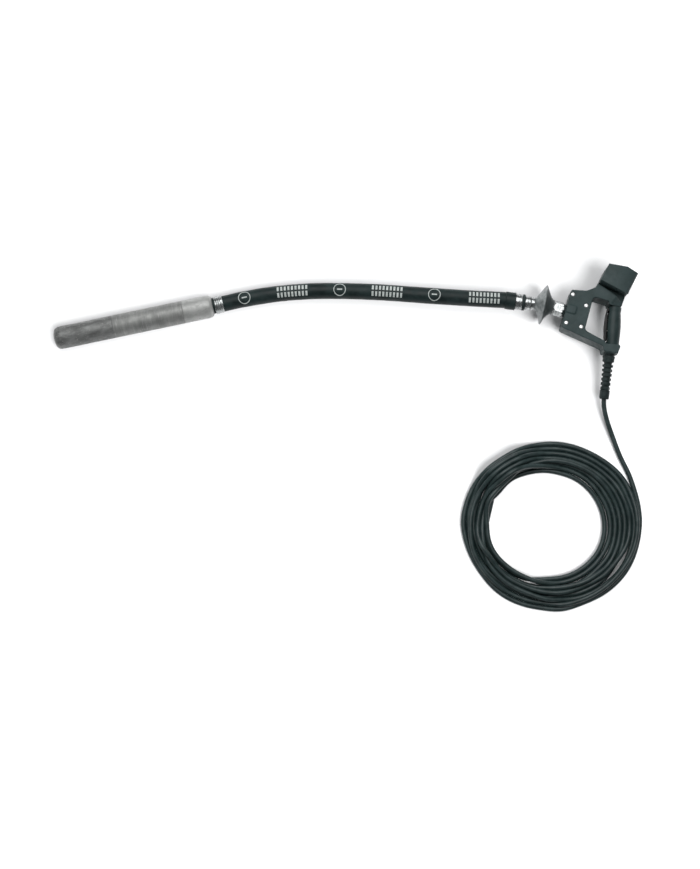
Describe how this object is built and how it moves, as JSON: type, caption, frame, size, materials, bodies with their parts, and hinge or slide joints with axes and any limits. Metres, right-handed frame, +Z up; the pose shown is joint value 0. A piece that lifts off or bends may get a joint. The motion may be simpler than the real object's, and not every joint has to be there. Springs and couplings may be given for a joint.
{
  "type": "concrete vibrator",
  "caption": "Concrete vibrator: long steel immersion head with an eccentric rotor inside, rubber hose, bellows coupling, D-handle with a squeeze lever, ribbed strain relief and coiled lead.",
  "frame": {"origin": "centre of the bottom of the tool's bounding box without the free lead: on the surface that the tool lies on", "axes": "+X from the head's nose towards the handle, +Y towards the handle's guard, +Z up from the surface that the tool lies on"},
  "size_m": [1.4649, 0.8484, 0.1005],
  "materials": {
    "nose_steel": "rough ground, dull, stained by concrete",
    "tube_steel": "dull turned steel with wear marks",
    "end_steel": "pale blasted steel",
    "bright_steel": "bright turned steel, lightly worn",
    "plain_steel": "plain turned steel",
    "core_steel": "varnished laminations",
    "copper": "varnished copper wire",
    "zinc": "zinc plated",
    "brass": "turned brass with steel balls",
    "hose_rubber": null,
    "black_rubber": "matt black rubber",
    "bellows_rubber": "grey satin rubber",
    "handle_plastic": "very dark green-grey moulded plastic, fine grain",
    "grip_rubber": "dark soft grip, satin",
    "lever_plastic": "black",
    "inner_plastic": "cream insulating plastic",
    "lead_rubber": "black rubber cable sheath"
  },
  "bodies": {
    "handle": {"ball_socket": "plain_steel", "union_nut": "bright_steel", "joint_seal": "black_rubber", "bellows": "bellows_rubber", "handle_body_top": "handle_plastic", "handle_body_bottom": "handle_plastic", "handle_arm_top": "handle_plastic", "handle_arm_bottom": "handle_plastic", "handle_beam_top": "handle_plastic", "handle_beam_bottom": "handle_plastic", "case_screw_1": "zinc", "case_screw_2": "zinc", "case_screw_3": "zinc", "case_screw_4": "zinc", "hand_guard": "handle_plastic", "guard_bolt": "zinc", "grip_core": "plain_steel", "grip_sleeve": "grip_rubber", "switch_block": "inner_plastic", "lever_pin": "bright_steel", "lever_spring": "bright_steel", "terminal_block": "inner_plastic", "inner_lead": "black_rubber", "strain_relief": "black_rubber", "lead": "lead_rubber", "lead_coil": "lead_rubber", "connector_body": "black_rubber", "connector_ring": "bright_steel", "connector_insert": "inner_plastic"},
    "hose_end": {"rear_ferrule": "bright_steel", "ferrule_ring": "black_rubber", "coupling_sleeve": "bright_steel", "neck_collar": "plain_steel", "ball_stud": "bright_steel"},
    "head": {"nose_tube": "nose_steel", "stator_tube": "tube_steel", "end_piece": "end_steel", "nose_oring": "black_rubber", "end_oring": "black_rubber", "stator_core": "core_steel", "front_winding": "copper", "rear_winding": "copper", "oil_seal": "black_rubber", "front_outer_race": "bright_steel", "middle_outer_race": "bright_steel", "rear_outer_race": "bright_steel", "head_hose_clamp": "bright_steel", "protective_hose": "hose_rubber", "hose_cable": "black_rubber"},
    "rotor": {"rotor_shaft": "bright_steel", "rotor_core": "core_steel", "eccentric_weight": "plain_steel", "front_inner_race": "bright_steel", "middle_inner_race": "bright_steel", "rear_inner_race": "bright_steel"},
    "front_cage": {"front_ball_cage": "brass"},
    "middle_cage": {"middle_ball_cage": "brass"},
    "rear_cage": {"rear_ball_cage": "brass"},
    "lever": {"deadman_lever": "lever_plastic"},
    "plunger": {"switch_plunger": "inner_plastic"}
  },
  "joints": [
    {"name": "handle_flex", "type": "hinge", "parent": "handle", "child": "hose_end", "pos_m": [0.4965, 0.0719, 0.0505], "axis": [0, 0, 1], "range_deg": [-25, 7], "stiffness_Nm_per_rad": 6, "deforming": ["bellows"]},
    {"name": "hose_bend", "type": "hinge", "parent": "hose_end", "child": "head", "pos_m": [0.0465, 0.1074, 0.0425], "axis": [0, 0, 1], "range_deg": [-25, 25], "stiffness_Nm_per_rad": 5, "deforming": ["protective_hose", "hose_cable"]},
    {"name": "rotor_spin", "type": "hinge", "parent": "head", "child": "rotor", "pos_m": [-0.55441, 0.026, 0.0285], "axis": [0.9778, 0.2096, 0], "continuous": true},
    {"name": "front_cage_spin", "type": "hinge", "parent": "head", "child": "front_cage", "pos_m": [-0.7045, -0.00618, 0.0285], "axis": [0.9778, 0.2096, 0], "continuous": true},
    {"name": "middle_cage_spin", "type": "hinge", "parent": "head", "child": "middle_cage", "pos_m": [-0.5989, 0.01646, 0.0285], "axis": [0.9778, 0.2096, 0], "continuous": true},
    {"name": "rear_cage_spin", "type": "hinge", "parent": "head", "child": "rear_cage", "pos_m": [-0.40726, 0.05754, 0.0285], "axis": [0.9778, 0.2096, 0], "continuous": true},
    {"name": "lever_press", "type": "hinge", "parent": "handle", "child": "lever", "pos_m": [0.65753, 0.05791, 0.0505], "axis": [0, 0, 1], "range_deg": [0, 2.8], "stiffness_Nm_per_rad": 1.5, "deforming": ["lever_spring"]},
    {"name": "plunger_slide", "type": "slide", "parent": "handle", "child": "plunger", "axis": [0.9968, -0.0802, 0], "range_m": [0, 0.0027]}
  ],
  "couplings": [
    {"joint": "front_cage_spin", "follows": "rotor_spin", "ratio": 0.406},
    {"joint": "middle_cage_spin", "follows": "rotor_spin", "ratio": 0.406},
    {"joint": "rear_cage_spin", "follows": "rotor_spin", "ratio": 0.406},
    {"joint": "plunger_slide", "follows": "lever_press", "m_per_rad": 0.052}
  ]
}
